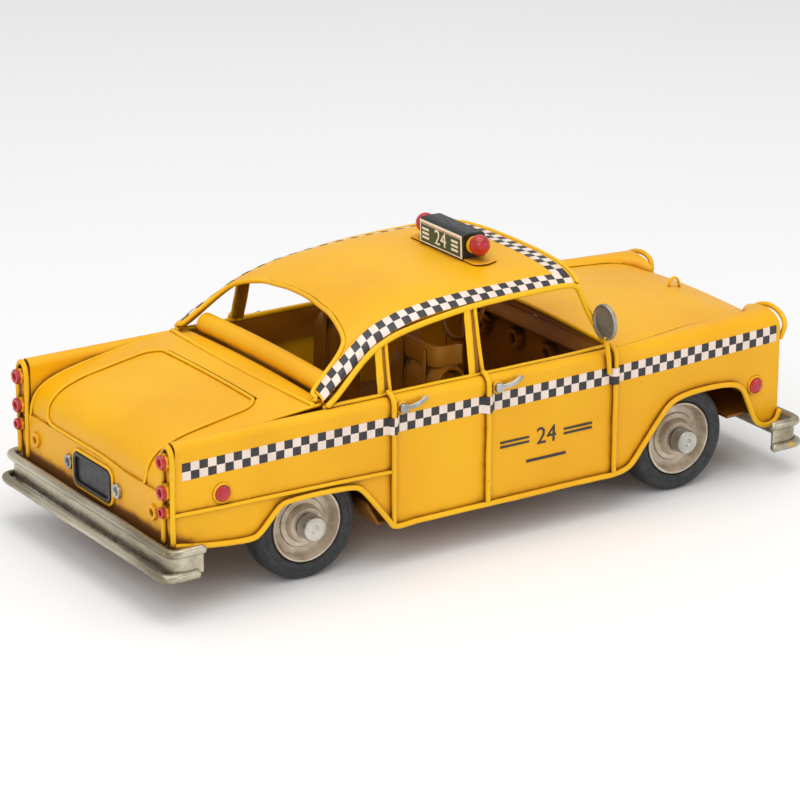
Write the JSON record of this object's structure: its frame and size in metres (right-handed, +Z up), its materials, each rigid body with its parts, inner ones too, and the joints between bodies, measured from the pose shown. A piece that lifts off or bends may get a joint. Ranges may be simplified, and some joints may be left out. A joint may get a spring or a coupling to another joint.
{
  "type": "friction tin car",
  "caption": "Hand-made tin taxi saloon with checkered stripes, roof sign, wire trim, open windows, free-turning wheels and a geared flywheel drive.",
  "frame": {"origin": "on the ground under the centre of the car's box", "axes": "+X forward along the car, +Y to the car's left, +Z up"},
  "size_m": [0.2887, 0.1272, 0.1059],
  "materials": {
    "yellow_enamel": "yellow enamel on sheet metal with brown patina in the seams",
    "yellow_trim": "brighter yellow enamel on soldered wire",
    "cabin_enamel": "yellow enamel under a heavy brown patina",
    "aged_pewter": "dull silver paint with brown patina and small yellow specks",
    "rim_metal": "dull grey metal with brown patina",
    "axle_steel": "plain aged steel",
    "tyre_rubber": "matt dark grey rubber",
    "gear_brass": "plain cut brass",
    "black_enamel": "semi-gloss black enamel",
    "red_enamel": "gloss red enamel"
  },
  "bodies": {
    "car_body": {"dashboard": "cabin_enamel", "drive_frame": "axle_steel", "floor_pan": "cabin_enamel", "front_axle_bracket": "axle_steel", "front_bumper": "aged_pewter", "front_door_left": "yellow_enamel", "front_door_right": "yellow_enamel", "front_fender_left": "yellow_enamel", "front_fender_right": "yellow_enamel", "front_panel": "yellow_enamel", "front_seat_left": "cabin_enamel", "front_seat_right": "cabin_enamel", "grille": "aged_pewter", "headlight_hood_left": "yellow_trim", "headlight_hood_right": "yellow_trim", "headlight_left": "aged_pewter", "headlight_right": "aged_pewter", "hood": "yellow_enamel", "hood_ornament": "yellow_trim", "mirror_left": "aged_pewter", "mirror_right": "aged_pewter", "number_plate": "black_enamel", "parcel_shelf": "yellow_enamel", "plate_frame": "yellow_trim", "rear_bumper": "aged_pewter", "rear_door_left": "yellow_enamel", "rear_door_right": "yellow_enamel", "rear_panel": "yellow_enamel", "rear_quarter_left": "yellow_enamel", "rear_quarter_right": "yellow_enamel", "rear_seat": "cabin_enamel", "rear_window_wire": "yellow_trim", "roof": "yellow_enamel", "side_frame_left": "yellow_trim", "side_frame_right": "yellow_trim", "side_trim_left": "yellow_trim", "side_trim_right": "yellow_trim", "sign_base": "yellow_enamel", "sign_box": "black_enamel", "sign_lamp_left": "red_enamel", "sign_lamp_right": "red_enamel", "steering_wheel": "cabin_enamel", "tail_lights_left": "red_enamel", "tail_lights_right": "red_enamel", "trunk_deck": "yellow_enamel", "trunk_lid": "yellow_enamel", "windshield_header": "yellow_trim"},
    "rear_running_gear": {"rear_axle": "axle_steel", "axle_gear": "gear_brass", "rim_rear_left": "rim_metal", "rim_rear_right": "rim_metal", "tyre_rear_left": "tyre_rubber", "tyre_rear_right": "tyre_rubber"},
    "front_running_gear": {"front_axle": "axle_steel", "rim_front_left": "rim_metal", "rim_front_right": "rim_metal", "tyre_front_left": "tyre_rubber", "tyre_front_right": "tyre_rubber"},
    "lay_shaft": {"lay_gear": "gear_brass"},
    "flywheel_rotor": {"flywheel": "axle_steel"}
  },
  "joints": [
    {"name": "rear_wheels_spin", "type": "hinge", "parent": "car_body", "child": "rear_running_gear", "pos_m": [-0.08, 0, 0.0212], "axis": [0, 1, 0], "continuous": true},
    {"name": "front_wheels_spin", "type": "hinge", "parent": "car_body", "child": "front_running_gear", "pos_m": [0.088, 0, 0.0212], "axis": [0, 1, 0], "continuous": true},
    {"name": "lay_shaft_spin", "type": "hinge", "parent": "car_body", "child": "lay_shaft", "pos_m": [-0.09039, 0, 0.0272], "axis": [0, 1, 0], "continuous": true},
    {"name": "flywheel_spin", "type": "hinge", "parent": "car_body", "child": "flywheel_rotor", "pos_m": [-0.09772, 0, 0.03593], "axis": [0, 1, 0], "continuous": true}
  ],
  "couplings": [
    {"joint": "lay_shaft_spin", "follows": "rear_wheels_spin", "ratio": -3},
    {"joint": "flywheel_spin", "follows": "rear_wheels_spin", "ratio": 8.4}
  ]
}
